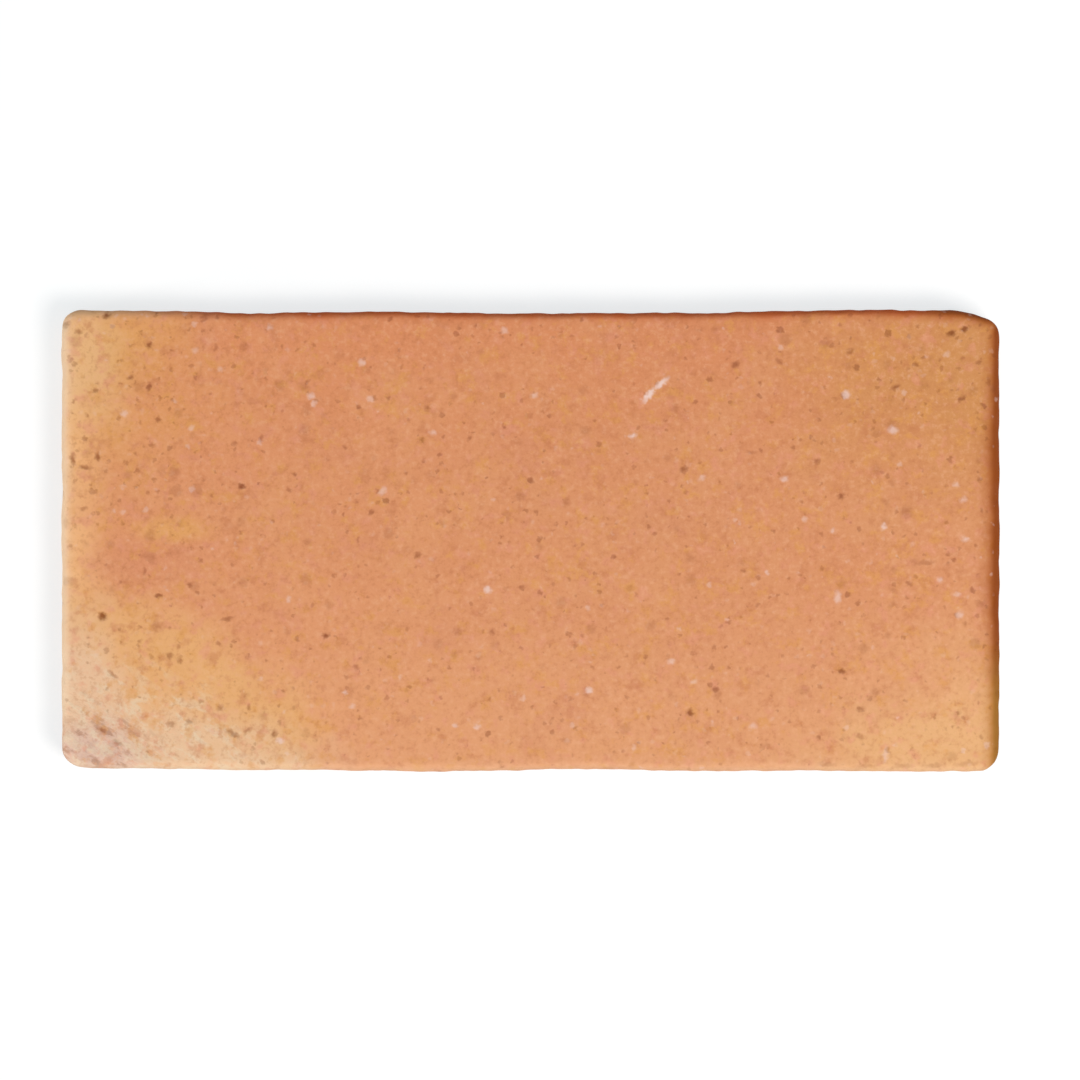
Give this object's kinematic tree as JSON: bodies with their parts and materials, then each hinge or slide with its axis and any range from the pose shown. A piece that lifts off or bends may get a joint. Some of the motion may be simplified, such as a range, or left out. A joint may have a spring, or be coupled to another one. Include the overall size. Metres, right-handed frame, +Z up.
{
  "type": "porcelain tile",
  "caption": "Oblong unglazed porcelain tile in the look of terracotta, with gently wavy long sides, unlike corners, a rounded face edge and a keyed back.",
  "frame": {"origin": "centre of the back, in the plane that lies on the adhesive", "axes": "+X along the length, +Y across the tile, +Z up through the face"},
  "size_m": [0.2, 0.0984, 0.01],
  "materials": {
    "porcelain": "unglazed, matt, speckled terracotta"
  },
  "bodies": {
    "root": {"tile": "porcelain"}
  },
  "joints": []
}
